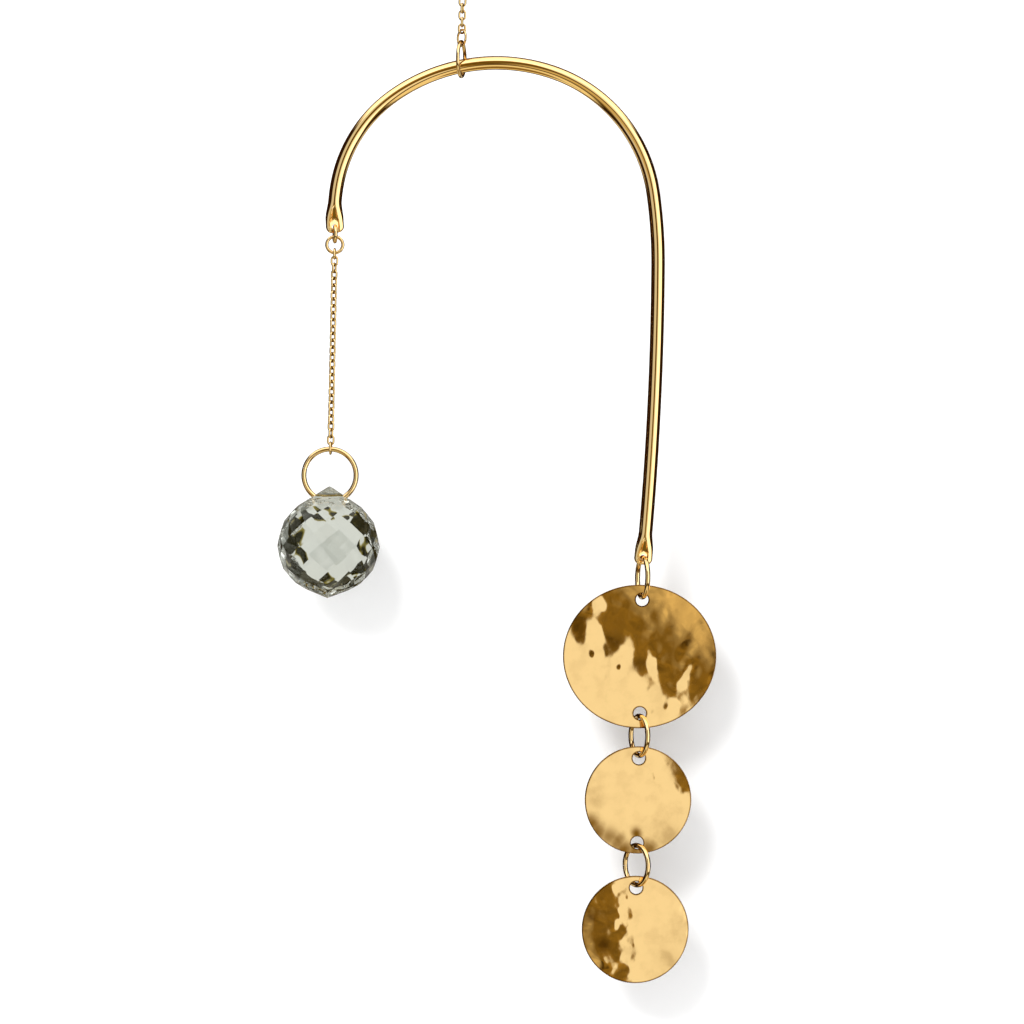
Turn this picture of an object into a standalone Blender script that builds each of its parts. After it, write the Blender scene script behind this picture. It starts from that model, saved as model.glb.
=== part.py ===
"""A suncatcher: a bent brass arch hung from a ring, with a faceted crystal ball on a fine chain
under its left end and three hammered brass discs, one below the other, under its right end.

The whole thing hangs in the XZ plane and is seen from -Y. Everything is placed from the top down:
each piece hangs on the one above it, and GAP is left where two of them bear on each other.
Lengths are in metres.
"""
import math

import bmesh
import bpy
from mathutils import Matrix, Vector

for old in list(bpy.data.objects):
    bpy.data.objects.remove(old, do_unlink=True)

# Free space between two pieces that bear on each other
GAP = 0.0003

# Round rings: outside diameter, wire diameter, and degrees turned about the vertical
HANGING_RING_D = 0.0165
HANGING_RING_WIRE = 0.0012
HANGING_RING_TURN = 0.0
CONNECTOR_D = 0.0054
CONNECTOR_WIRE = 0.0007
CONNECTOR_TURN = -60.0
ARCH_RING_D = 0.0112
ARCH_RING_WIRE = 0.0011
ARCH_RING_TURN = 79.0
LEFT_END_RING_D = 0.0056
LEFT_END_RING_WIRE = 0.0012
LEFT_END_RING_TURN = -83.0
CHAIN_RING_D = 0.0057
CHAIN_RING_WIRE = 0.0010
CHAIN_RING_TURN = 0.0
CRYSTAL_RING_D = 0.01675
CRYSTAL_RING_WIRE = 0.0015
CRYSTAL_RING_TURN = 0.0
DISC_RING_D = 0.0130
DISC_RING_WIRE = 0.0015
DISC_RING_TURNS = (-76.7, -66.5, -56.0)

# Cable chain: a link is an oval of round wire, and each link stands across the one before it
CHAIN_WIRE = 0.00065
LINK_WIDTH = 0.0024
LINK_INSIDE = 0.00196
LINK_BITE = 0.00005
LINK_BEND_STEPS = 4
END_LINK_ROOM = 0.00025
END_LINK_TURN = 85.0
CHAIN_TWIST = 40.0
TWIST_LINKS = 4
TOP_LINKS = 6
CRYSTAL_LINKS = 29

# Arch: a tube bent in one plane. Its bends run from the left end over the top to the right leg, as
# (bend radius as a share of ARCH_WIDTH, degrees turned), and the right leg bows slightly inwards.
ROD_D = 0.0040
ROD_LEAN = 7.5
ARCH_WIDTH = 0.0952
ARCH_BENDS = ((0.5168, 17.5), (0.4233, 42.1), (0.5420, 55.0), (0.4611, 63.6), (1.4989, 8.5))
RIGHT_LEG = 0.0875
RIGHT_LEG_BOW = 5.1
HANG_AT = 0.0674

# Spacing of the rod's sections: even along its bends, closer towards its two ends
ROD_STEP = 0.0050
END_SECTIONS = 14
END_CROWDING = 1.3

# Pressed and drilled ends of the rod
PADDLE_WIDTH = 0.0053
PADDLE_THICK = 0.0012
PADDLE_FLAT = 0.0042
PADDLE_RUN = 0.0055
PADDLE_CORNER = 0.0018
LEFT_HOLE_D = 0.0016
RIGHT_HOLE_D = 0.0020
END_STRIP = 0.0010

# Crystal ball, with a tip that rises out of it and is drilled across for the ring. Its underside is
# a little flatter than half a ball, and its rows of facets end at POLE_SHARE of the ball's radius.
BALL_D = 0.0300
UNDERSIDE = 0.92
TIP_RISE = 0.0180
TIP_BORE_D = 0.0024
TIP_BORE_DEPTH = 0.0049
FACETS_ROUND = 12
POLE_SHARE = 0.45

# The tip's rounded point: height of its cap, the share of it cut off flat, and its rows of corners
# as (share of the cap's height below the point, share of the cone's radius there)
TIP_ROUND = 0.0018
TIP_CUT = 0.18
TIP_ROWS = ((1.0, 0.9), (0.45, 0.75))

# Hammered discs: a slightly oval large one and two round small ones, cut from sheet and dished. A
# disc with a positive dish stands out towards the viewer in its middle. Each has turned by some
# degrees about the vertical on its ring. The large one's holes stand a little to the right of its
# middle, so it hangs LARGE_ASIDE of them.
SHEET = 0.0008
LARGE_DISC_WIDTH = 0.0448
LARGE_DISC_HEIGHT = 0.0419
SMALL_DISC_D = 0.0313
LARGE_DISH = -0.0007
MIDDLE_DISH = -0.0004
BOTTOM_DISH = 0.0005
DISC_TURNS = (1.5, 4.8, 3.5)
DISC_HOLE_D = 0.0037
LARGE_ASIDE = -0.0004

# Metal left between a disc's rim and its upper and lower hole
LARGE_STRIP = 0.0025
SMALL_UPPER_STRIP = 0.0016
SMALL_LOWER_STRIP = 0.0013

# Facet counts
RING_STEPS = 20
SMALL_RING_STEPS = 16
WIRE_SIDES = 8
ROD_SIDES = 10
DISC_STEPS = 36
DISH_STEPS = 3
HOLE_STEPS = 16
BORE_STEPS = 48

# Colours: bright gold plate and smoky glass
GOLD = (0.86, 0.58, 0.20, 1.0)
SMOKE = (0.78, 0.80, 0.76, 1.0)


def new_collection(name):
    """A collection of this name in the scene."""
    made = bpy.data.collections.new(name)
    bpy.context.scene.collection.children.link(made)
    return made


PARTS = new_collection("suncatcher")
CUTTERS = new_collection("suncatcher_cutters")


def gold_for(name):
    """Polished gold plate, one material for each piece."""
    finish = bpy.data.materials.new(name + "_gold")
    finish.use_nodes = True
    shader = finish.node_tree.nodes["Principled BSDF"]
    shader.inputs["Base Color"].default_value = GOLD
    shader.inputs["Metallic"].default_value = 1.0
    shader.inputs["Roughness"].default_value = 0.12
    return finish


def smoky_glass():
    """Clear glass with a grey-green smoke in it."""
    finish = bpy.data.materials.new("crystal_glass")
    finish.use_nodes = True
    shader = finish.node_tree.nodes["Principled BSDF"]
    shader.inputs["Base Color"].default_value = SMOKE
    shader.inputs["Roughness"].default_value = 0.0
    shader.inputs["IOR"].default_value = 1.52
    shader.inputs["Transmission Weight"].default_value = 1.0
    return finish


def move_to(obj, collection):
    """Put an object in one collection only."""
    for old in list(obj.users_collection):
        old.objects.unlink(obj)
    collection.objects.link(obj)


def keep(obj, name, finish):
    """Name a finished piece, give it its material and put it with the parts."""
    obj.name = name
    obj.data.name = name
    obj.data.materials.clear()
    obj.data.materials.append(finish)
    move_to(obj, PARTS)
    return obj


def make_cutter(obj, name):
    """Name a cutter and keep it out of the model."""
    obj.name = name
    obj.hide_render = True
    obj.display_type = "WIRE"
    move_to(obj, CUTTERS)
    return obj


def cut(obj, cutter, operation="DIFFERENCE"):
    """Boolean one object with another."""
    boolean = obj.modifiers.new(cutter.name, "BOOLEAN")
    boolean.operation = operation
    boolean.solver = "EXACT"
    boolean.object = cutter


def from_bmesh(mesh, name):
    """A new object in the scene from a bmesh."""
    data = bpy.data.meshes.new(name)
    mesh.to_mesh(data)
    mesh.free()
    obj = bpy.data.objects.new(name, data)
    bpy.context.scene.collection.objects.link(obj)
    return obj


def torus(ring_d, wire, centre, turn, steps):
    """A round ring of round wire, standing upright and turned about the vertical."""
    bpy.ops.mesh.primitive_torus_add(
        major_radius=(ring_d - wire) / 2, minor_radius=wire / 2,
        major_segments=steps, minor_segments=WIRE_SIDES,
        location=centre, rotation=(math.pi / 2, 0, math.radians(turn)))
    obj = bpy.context.object
    obj.data.shade_smooth()
    return obj


def ring(name, ring_d, wire, x, inside_top, turn, steps=SMALL_RING_STEPS):
    """A ring whose inside top is at a given height. Returns the height of its inside bottom."""
    inside = ring_d - 2 * wire
    made = torus(ring_d, wire, (x, 0, inside_top - inside / 2), turn, steps)
    keep(made, name, gold_for(name))
    return inside_top - inside


def tube(points, diameter, closed, resolution):
    """A round wire along a row of points, made a closed mesh."""
    curve = bpy.data.curves.new("wire", "CURVE")
    curve.dimensions = "3D"
    curve.bevel_depth = diameter / 2
    curve.bevel_resolution = resolution
    curve.use_fill_caps = not closed
    spline = curve.splines.new("POLY")
    spline.points.add(len(points) - 1)
    for slot, point in zip(spline.points, points):
        slot.co = (*point, 1)
    spline.use_cyclic_u = closed
    route = bpy.data.objects.new("wire", curve)
    bpy.context.scene.collection.objects.link(route)
    bpy.context.view_layer.update()
    solid = bpy.data.meshes.new_from_object(route.evaluated_get(bpy.context.evaluated_depsgraph_get()))
    welded = bmesh.new()
    welded.from_mesh(solid)
    bmesh.ops.remove_doubles(welded, verts=welded.verts, dist=0.000001)
    bmesh.ops.recalc_face_normals(welded, faces=welded.faces)
    obj = from_bmesh(welded, "wire")
    obj.matrix_world = route.matrix_world
    bpy.data.meshes.remove(solid)
    bpy.data.objects.remove(route, do_unlink=True)
    return obj


def oval(width, inside):
    """The middle line of one link: two half circles joined by straight sides, top bend first."""
    reach = (width - CHAIN_WIRE) / 2
    straight = (inside + CHAIN_WIRE) / 2 - reach
    half = [math.pi * step / LINK_BEND_STEPS for step in range(LINK_BEND_STEPS + 1)]
    top = [(reach * math.cos(a), 0, straight + reach * math.sin(a)) for a in half]
    bottom = [(-x, 0, -z) for x, _, z in top]
    return top + bottom


def chain(name, x, inside_top, count, first_turn, top_wire, bottom_wire):
    """Links hung in line and fused where they bear on each other.

    The first and last links are wider, to take the wires that they hang on and carry.
    Returns the height of the last link's inside bottom.
    """
    def end_size(held):
        return held + 2 * END_LINK_ROOM + 2 * CHAIN_WIRE, held + GAP + CHAIN_WIRE + END_LINK_ROOM

    sizes = [end_size(top_wire)] + [(LINK_WIDTH, LINK_INSIDE)] * (count - 2) + [end_size(bottom_wire)]
    groups = ([], [])
    height = inside_top
    for number, (width, inside) in enumerate(sizes):
        link = tube(oval(width, inside), CHAIN_WIRE, closed=True, resolution=0)
        drift = CHAIN_TWIST * min(1.0, number / TWIST_LINKS, (count - 1 - number) / TWIST_LINKS)
        turn = Matrix.Rotation(math.radians(first_turn + 90 * number - drift), 4, "Z")
        link.data.transform(Matrix.Translation((x, 0, height - inside / 2)) @ turn)
        groups[number % 2].append(link)
        height -= inside + LINK_BITE
    joined = []
    for group in groups:
        merged = bmesh.new()
        for link in group:
            merged.from_mesh(link.data)
            bpy.data.objects.remove(link, do_unlink=True)
        joined.append(from_bmesh(merged, name))
    make_cutter(joined[1], name + "_other_links")
    cut(joined[0], joined[1], "UNION")
    joined[0].data.shade_smooth()
    keep(joined[0], name, gold_for(name))
    return height + LINK_BITE


def rod_bends():
    """The rod's arcs as (radius, angle turned in radians), from its left end to its right."""
    bow = math.radians(RIGHT_LEG_BOW)
    bends = [(share * ARCH_WIDTH, math.radians(turn)) for share, turn in ARCH_BENDS]
    return bends + [(RIGHT_LEG / bow, bow)]


def rod_line(step):
    """Points down the rod's middle line with the heading at each, starting at its left end.

    The line is a row of arcs, each tangent to the one before. The spacing closes up towards
    both ends, where the section changes.
    """
    total = sum(radius * angle for radius, angle in rod_bends())
    pressed = PADDLE_FLAT + PADDLE_RUN
    near = [pressed * (i / END_SECTIONS) ** END_CROWDING for i in range(END_SECTIONS)]
    middle = round((total - 2 * pressed) / step)
    far = [pressed + (total - 2 * pressed) * i / middle for i in range(middle + 1)]
    stations = near + far + [total - distance for distance in reversed(near)]
    return [(*rod_at(distance), distance) for distance in stations], total


def rod_at(distance):
    """Place and heading on the rod's middle line at a distance from its left end."""
    x = z = 0.0
    heading = math.radians(90 + ROD_LEAN)
    bends = rod_bends()
    for radius, angle in bends:
        last = (radius, angle) == bends[-1]
        part = distance if last else min(distance, radius * angle)
        after = heading - part / radius
        x += radius * (math.sin(heading) - math.sin(after))
        z += radius * (math.cos(after) - math.cos(heading))
        heading = after
        distance -= part
        if distance <= 0:
            break
    return x, z, heading


def ease(value):
    """Zero to one with a soft start and finish."""
    value = min(1.0, max(0.0, value))
    return value * value * (3 - 2 * value)


def pressed_size(distance):
    """Half width and half thickness of the rod at a distance from its nearer end."""
    swell = 1 - ease((distance - PADDLE_FLAT) / PADDLE_RUN)
    half_width = (ROD_D + (PADDLE_WIDTH - ROD_D) * swell) / 2
    half_thick = (ROD_D + (PADDLE_THICK - ROD_D) * swell) / 2
    if distance < PADDLE_CORNER:
        inset = PADDLE_CORNER - distance
        half_width += math.sqrt(PADDLE_CORNER ** 2 - inset ** 2) - PADDLE_CORNER
    return half_width, half_thick


def crossing_lift(turn, slope, apart):
    """How far above a level wire, turned from X, a wire that climbs at a slope passes."""
    across = math.sin(math.radians(abs(turn)))
    climb, run = math.sin(slope), math.cos(slope)
    return apart * math.hypot(climb, across * run) / (across * run)


def arch_rod(ring_bottom):
    """The bent rod resting in its ring. Returns its two ends as (x, z, heading into the rod)."""
    line, total = rod_line(ROD_STEP)
    hang_x, hang_z, slope = rod_at(HANG_AT)
    bearing = (ARCH_RING_WIRE + ROD_D) / 2 + GAP
    rest = ring_bottom - ARCH_RING_WIRE / 2 + crossing_lift(ARCH_RING_TURN, slope, bearing)
    move_x, move_z = -hang_x, rest - hang_z
    line = [(x + move_x, z + move_z, heading, distance) for x, z, heading, distance in line]

    rod = tube([(x, 0, z) for x, z, _, _ in line], ROD_D, closed=False, resolution=(ROD_SIDES - 4) // 2)
    for vertex in rod.data.vertices:
        x, _, z = vertex.co
        place = min(line, key=lambda p: (p[0] - x) ** 2 + (p[1] - z) ** 2)
        normal = (-math.sin(place[2]), math.cos(place[2]))
        aside = (x - place[0]) * normal[0] + (z - place[1]) * normal[1]
        half_width, half_thick = pressed_size(min(place[3], total - place[3]))
        aside *= half_width * 2 / ROD_D
        vertex.co.x = place[0] + aside * normal[0]
        vertex.co.z = place[1] + aside * normal[1]
        vertex.co.y = max(-half_thick, min(half_thick, vertex.co.y))
    rod.data.shade_smooth()

    ends = []
    for name, end, way, hole_d in (("left", line[0], 1, LEFT_HOLE_D), ("right", line[-1], -1, RIGHT_HOLE_D)):
        along = Vector((math.cos(end[2]), 0, math.sin(end[2]))) * way
        ends.append((Vector((end[0], 0, end[1])), along))
        drill(rod, "rod_" + name + "_hole", ends[-1][0] + along * (END_STRIP + hole_d / 2), hole_d)
    keep(rod, "arch_rod", gold_for("arch_rod"))
    return ends


def drill(obj, name, centre, diameter):
    """A round hole from front to back."""
    bpy.ops.mesh.primitive_cylinder_add(
        vertices=HOLE_STEPS, radius=diameter / 2, depth=ROD_D * 2,
        location=centre, rotation=(math.pi / 2, 0, 0))
    cut(obj, make_cutter(bpy.context.object, name))


def dished_disc(name, width, height, dish, aside, turn, x, hole_top, upper_strip, lower_strip):
    """A hammered disc hung by the hole near its upper edge, with the top of that hole at hole_top.

    A dished sheet is turned from a profile, made oval, and drilled. Returns the height of the
    bottom of its lower hole, where the next ring hangs. A disc with no lower strip has no lower hole.
    """
    radius = width / 2
    profile = bmesh.new()
    shares = [step / DISH_STEPS for step in range(DISH_STEPS + 1)]
    front = [(radius * share, -dish * (1 - share ** 2)) for share in shares]
    outline = [(r, 0, y) for r, y in front] + [(r, 0, y + SHEET) for r, y in reversed(front)]
    corners = [profile.verts.new(place) for place in reversed(outline)]
    for first, second in zip(corners, corners[1:]):
        profile.edges.new((first, second))
    disc = from_bmesh(profile, name)
    screw = disc.modifiers.new("turn", "SCREW")
    screw.steps = DISC_STEPS
    screw.render_steps = DISC_STEPS
    screw.use_merge_vertices = True
    screw.merge_threshold = 0.00001
    screw.use_normal_calculate = True
    top = hole_top + upper_strip
    facing = math.radians(turn)
    out = Vector((aside, -SHEET / 2, 0))
    out.rotate(Matrix.Rotation(facing, 3, "Z"))
    disc.location = (x + out.x, out.y, top - height / 2)
    disc.rotation_euler = (-math.pi / 2, 0, facing)
    disc.scale = (1, height / width, 1)
    drill(disc, name + "_upper_hole", (x, 0, hole_top - DISC_HOLE_D / 2), DISC_HOLE_D)
    hole_bottom = top - height + lower_strip
    if lower_strip:
        drill(disc, name + "_lower_hole", (x, 0, hole_bottom + DISC_HOLE_D / 2), DISC_HOLE_D)
    keep(disc, name, gold_for(name))
    return hole_bottom


def ball_rows():
    """Heights and radii of the rows of corners on the ball, from its middle to one pole.

    Corners of neighbouring rows stand half a step apart, and each facet is a kite over three rows.
    It is flat when its upper corner, the middle of its two side corners and its lower corner
    are in line, which gives each row from the two before it. The last facets meet at a point on
    the axis, whose height comes with the rows.
    """
    radius = BALL_D / 2
    pinch = math.cos(math.pi / FACETS_ROUND)
    rows = [(radius, 0.0), (radius * pinch, radius * math.sin(math.pi / FACETS_ROUND))]
    while rows[-1][0] > radius * POLE_SHARE:
        start = Vector(rows[-2])
        ahead = (Vector((rows[-1][0] * pinch, rows[-1][1])) - start).normalized()
        rows.append(tuple(start - ahead * (2 * start.dot(ahead))))
    start = Vector(rows[-2])
    ahead = Vector((rows[-1][0] * pinch, rows[-1][1])) - start
    point = start.y - ahead.y * start.x / ahead.x
    return rows, point


def crystal_ball(x, bore_height):
    """The faceted ball, its drilled tip placed with the bore's middle at bore_height."""
    middle = bore_height + TIP_BORE_DEPTH - TIP_RISE
    radius = BALL_D / 2
    cone = math.asin(radius / TIP_RISE)
    step = 2 * math.pi / FACETS_ROUND
    shell = bmesh.new()

    def add_row(row_radius, height, half_turned):
        for number in range(FACETS_ROUND):
            angle = step * (number + (0.5 if half_turned else 0.0))
            shell.verts.new((row_radius * math.cos(angle), row_radius * math.sin(angle), height))

    rows, point = ball_rows()
    for number, (row_radius, height) in enumerate(rows):
        add_row(row_radius, -height * UNDERSIDE, number % 2)
        if number and height < radius * math.sin(cone):
            add_row(row_radius, height, number % 2)
    shell.verts.new((0, 0, -point * UNDERSIDE))
    for below, across in TIP_ROWS:
        drop = TIP_ROUND * below
        add_row(drop * math.tan(cone) * across, TIP_RISE - drop, False)
    shell.verts.new((0, 0, TIP_RISE - TIP_ROUND * TIP_CUT))
    bmesh.ops.convex_hull(shell, input=shell.verts)
    loose = [vertex for vertex in shell.verts if not vertex.link_faces]
    bmesh.ops.delete(shell, geom=loose, context="VERTS")
    bmesh.ops.dissolve_limit(shell, angle_limit=math.radians(0.5), verts=shell.verts, edges=shell.edges)
    ball = from_bmesh(shell, "crystal_ball")
    ball.location = (x, 0, middle)

    bore_ring_d = CRYSTAL_RING_D - CRYSTAL_RING_WIRE + TIP_BORE_D
    bore = torus(bore_ring_d, TIP_BORE_D, (x, 0, bore_height + (bore_ring_d - TIP_BORE_D) / 2),
                 CRYSTAL_RING_TURN, BORE_STEPS)
    cut(ball, make_cutter(bore, "crystal_bore"))
    keep(ball, "crystal_ball", smoky_glass())


def hang_everything():
    """Place the pieces one below the other, starting at the hook's bearing point, the origin."""
    bottom = ring("hanging_ring", HANGING_RING_D, HANGING_RING_WIRE, 0, 0, HANGING_RING_TURN,
                  RING_STEPS)
    bottom = chain("top_chain", 0, bottom + GAP, TOP_LINKS, HANGING_RING_TURN - END_LINK_TURN,
                   HANGING_RING_WIRE, CONNECTOR_WIRE)
    bottom = ring("connector_ring", CONNECTOR_D, CONNECTOR_WIRE, 0, bottom + GAP, CONNECTOR_TURN)
    bottom = ring("arch_ring", ARCH_RING_D, ARCH_RING_WIRE, 0, bottom + GAP, ARCH_RING_TURN)
    (left, left_way), (right, right_way) = arch_rod(bottom)

    hole = left + left_way * END_STRIP
    bottom = ring("left_end_ring", LEFT_END_RING_D, LEFT_END_RING_WIRE, hole.x, hole.z + GAP,
                  LEFT_END_RING_TURN)
    bottom = ring("chain_ring", CHAIN_RING_D, CHAIN_RING_WIRE, hole.x, bottom + GAP, CHAIN_RING_TURN)
    bottom = chain("crystal_chain", hole.x, bottom + GAP, CRYSTAL_LINKS, CHAIN_RING_TURN + END_LINK_TURN,
                   CHAIN_RING_WIRE, CRYSTAL_RING_WIRE)
    bottom = ring("crystal_ring", CRYSTAL_RING_D, CRYSTAL_RING_WIRE, hole.x, bottom + GAP,
                  CRYSTAL_RING_TURN, RING_STEPS)
    crystal_ball(hole.x, bottom + GAP - TIP_BORE_D / 2)

    hole = right + right_way * END_STRIP
    bottom = hole.z
    large = (LARGE_DISC_WIDTH, LARGE_DISC_HEIGHT, LARGE_DISH, LARGE_ASIDE)
    middle = (SMALL_DISC_D, SMALL_DISC_D, MIDDLE_DISH, 0)
    bottom_one = (SMALL_DISC_D, SMALL_DISC_D, BOTTOM_DISH, 0)
    discs = (("large_disc", large, LARGE_STRIP, LARGE_STRIP),
             ("middle_disc", middle, SMALL_UPPER_STRIP, SMALL_LOWER_STRIP),
             ("bottom_disc", bottom_one, SMALL_UPPER_STRIP, 0))
    for (name, shape, upper, lower), ring_turn, turn in zip(discs, DISC_RING_TURNS, DISC_TURNS):
        ring_name = name + "_ring"
        bottom = ring(ring_name, DISC_RING_D, DISC_RING_WIRE, hole.x, bottom + GAP, ring_turn, RING_STEPS)
        bottom = dished_disc(name, *shape, turn, hole.x, bottom + GAP, upper, lower)


hang_everything()
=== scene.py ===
# %% [markdown]
# # A suncatcher of gold plated brass and cut glass
#
# A bent tube hangs from a ring and a bit of chain. A faceted glass ball hangs under its left end and
# three hammered discs hang under its right end. The frame gives every piece its place and size, and
# this script gives each one its fine shape and its finish.
#
# The metal is a mirror, so its look comes from two things only: how exactly its surface bends, and
# what stands around it in the studio. Both are worked out before any colour is chosen.

# %% Tools, and the model as a fixed frame
import math

import bpy
import numpy as np
from mathutils import Matrix, Vector


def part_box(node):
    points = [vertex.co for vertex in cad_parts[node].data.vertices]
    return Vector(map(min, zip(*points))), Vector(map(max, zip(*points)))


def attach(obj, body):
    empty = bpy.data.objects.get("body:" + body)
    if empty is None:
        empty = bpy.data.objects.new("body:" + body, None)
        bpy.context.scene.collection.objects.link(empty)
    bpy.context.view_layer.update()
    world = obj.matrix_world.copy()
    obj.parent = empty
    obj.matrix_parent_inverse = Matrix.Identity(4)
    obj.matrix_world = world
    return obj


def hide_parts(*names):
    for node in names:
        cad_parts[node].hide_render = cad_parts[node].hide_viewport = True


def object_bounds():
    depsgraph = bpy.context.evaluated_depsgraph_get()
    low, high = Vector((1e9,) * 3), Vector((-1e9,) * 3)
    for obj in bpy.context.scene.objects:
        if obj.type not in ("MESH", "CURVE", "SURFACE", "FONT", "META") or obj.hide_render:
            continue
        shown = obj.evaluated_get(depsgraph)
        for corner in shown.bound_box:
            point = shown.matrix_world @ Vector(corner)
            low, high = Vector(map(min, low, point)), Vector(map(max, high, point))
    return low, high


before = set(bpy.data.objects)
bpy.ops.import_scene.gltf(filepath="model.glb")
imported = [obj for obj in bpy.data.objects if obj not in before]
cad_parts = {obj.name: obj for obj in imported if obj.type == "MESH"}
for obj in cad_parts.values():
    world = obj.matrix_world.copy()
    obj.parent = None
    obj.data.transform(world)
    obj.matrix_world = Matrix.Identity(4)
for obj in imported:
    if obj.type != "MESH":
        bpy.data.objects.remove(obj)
CAD_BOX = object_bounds()
MM = 0.001
print("pieces in the frame:", len(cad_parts))

# %% [markdown]
# ## The camera
#
# A long lens, about 1.2 m away, looks level along +Y. The picture leans by a little over a degree
# against the way things hang, so the camera is rolled by as much. One known point ties the two
# together: the middle of the ring that the arch rests in, and the pixel where it shows.

# %% Camera
IMAGE_PIXELS = 1024
PIXEL = 0.2921 * MM
PICTURE_ROLL = math.radians(1.2)
ARCH_RING_COLUMN = 461.3
ARCH_RING_ROW = 59.1
LENS = 144.0
SENSOR = 36.0


def middle_of(node):
    """The middle of a node's box."""
    low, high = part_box(node)
    return (low + high) / 2


def make_camera():
    """A camera square to the XZ plane, placed by counting pixels from the ring."""
    right = Vector((math.cos(PICTURE_ROLL), 0, math.sin(PICTURE_ROLL)))
    up = Vector((-math.sin(PICTURE_ROLL), 0, math.cos(PICTURE_ROLL)))
    back = right.cross(up)
    aside = (IMAGE_PIXELS / 2 - ARCH_RING_COLUMN) * PIXEL
    below = (IMAGE_PIXELS / 2 - ARCH_RING_ROW) * PIXEL
    distance = IMAGE_PIXELS * PIXEL * LENS / SENSOR
    ring = middle_of("arch_ring")
    place = ring + right * aside - up * below + back * distance
    data = bpy.data.cameras.new("camera")
    data.lens = LENS
    data.sensor_width = SENSOR
    camera = bpy.data.objects.new("camera", data)
    bpy.context.scene.collection.objects.link(camera)
    camera.matrix_world = Matrix.Translation(place) @ Matrix((right, up, back)).transposed().to_4x4()
    bpy.context.scene.camera = camera
    return camera


camera = make_camera()
bpy.context.scene.view_settings.view_transform = "Standard"
print("camera at", [round(value, 4) for value in camera.location])

# %% [markdown]
# ## Small helpers for node trees
#
# A material or a world is a graph of nodes. These helpers keep the later cells short: each one adds
# one node, feeds it, and hands back the socket that comes out.

# %% Node helpers
def feed(tree, source, socket):
    """Link a socket to another node's output, or set it to a plain value."""
    if isinstance(source, bpy.types.NodeSocket):
        tree.links.new(source, socket)
    else:
        socket.default_value = source


def calculate(tree, operation, first, second=0.0):
    """One step of arithmetic on two numbers."""
    node = tree.nodes.new("ShaderNodeMath")
    node.operation = operation
    feed(tree, first, node.inputs[0])
    feed(tree, second, node.inputs[1])
    return node.outputs[0]


def ramp(tree, value, start, end, low=0.0, high=1.0):
    """A soft step: low before start, high after end, an S curve between them."""
    node = tree.nodes.new("ShaderNodeMapRange")
    node.interpolation_type = "SMOOTHSTEP"
    feed(tree, value, node.inputs["Value"])
    node.inputs["From Min"].default_value = start
    node.inputs["From Max"].default_value = end
    node.inputs["To Min"].default_value = low
    node.inputs["To Max"].default_value = high
    return node.outputs["Result"]


def between(tree, value, limits, soft):
    """One inside two limits and zero outside, with soft edges."""
    low, high = limits
    rise = ramp(tree, value, low - soft / 2, low + soft / 2)
    fall = ramp(tree, value, high - soft / 2, high + soft / 2, 1.0, 0.0)
    return calculate(tree, "MULTIPLY", rise, fall)


def blend_colours(tree, share, under, over):
    """Lay one colour over another by a share from zero to one."""
    node = tree.nodes.new("ShaderNodeMix")
    node.data_type = "RGBA"
    feed(tree, share, node.inputs[0])
    feed(tree, under, node.inputs[6])
    feed(tree, over, node.inputs[7])
    return node.outputs[2]


def opaque(colour):
    """A colour with full cover."""
    return (*colour, 1.0)


# %% [markdown]
# ## The studio that the gold mirrors
#
# Polished metal shows its surroundings, so the surroundings are designed first. Every direction has
# an azimuth, counted from the camera towards the right, and an elevation. Each card below covers a
# range of both and is laid over the ones before it: a greyer wall on the left, a bright panel on the
# right, floor that gets darker towards the stand, then the dark behind the object, which gives round
# metal its dark edges, a bright ceiling, and the room round the camera. Cards could also be real
# planes with light, but a world drawn by direction has no noise and no edges that show from behind.
#
# The camera itself sees plain white where nothing stands, and matt things get an even soft light.

# %% Cards round the metal
# name, azimuths, elevations, softness in degrees, colour
ALL_ROUND = (-400, 400)
ALL_HEIGHTS = (-200, 200)
OPEN_STUDIO = (1.0, 1.0, 1.0)
STUDIO_CARDS = (
    ("left wall", (-400, -24), ALL_HEIGHTS, 8, (0.70, 0.74, 0.82)),
    ("right panel", (22, 400), ALL_HEIGHTS, 6, (1.95, 1.95, 2.00)),
    ("shade below the lens", ALL_ROUND, (-44, -27), 4, (0.16, 0.115, 0.026)),
    ("warm floor", ALL_ROUND, (-66, -44), 8, (0.95, 0.88, 0.66)),
    ("floor at the stand", ALL_ROUND, (-200, -66), 8, (0.28, 0.18, 0.04)),
    ("dark on the left", (-400, -57), (-48, 200), 8, (0.025, 0.010, 0.003)),
    ("dark on the right", (67, 400), (-48, 200), 8, (0.025, 0.010, 0.003)),
    ("ceiling panel", ALL_ROUND, (40, 200), 12, (1.60, 1.60, 1.66)),
    ("lamp over the lens", (-60, 60), (34, 60), 8, (2.0, 2.0, 2.1)),
    ("far end of the ceiling", (120, 400), (30, 74), 12, (0.14, 0.08, 0.02)),
    ("other far end of the ceiling", (-400, -120), (30, 74), 12, (0.14, 0.08, 0.02)),
    ("room", (-20, 6), (-27, 31), 2, (0.30, 0.195, 0.040)),
    ("camera", (-17, 5.5), (1, 14), 5, (0.105, 0.062, 0.009)),
    ("table under the camera", (-12, 4), (-10, 1), 3, (0.19, 0.120, 0.022)),
    ("legs of the stand", (-7, 3), (-25, -10), 4, (0.09, 0.052, 0.008)),
    ("lit wall of the room", (-34, -2.0), (-27, -1), 6, (0.60, 0.49, 0.28)),
    ("screen behind on the right", (110, 165), (-34, -8), 10, (0.62, 0.60, 0.56)),
    ("screen behind on the left", (-165, -110), (-34, -8), 10, (0.62, 0.60, 0.56)),
)
MATT_LIGHT = 0.97
BACKGROUND = (1.0, 1.0, 1.0)
print("studio cards:", len(STUDIO_CARDS))

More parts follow.
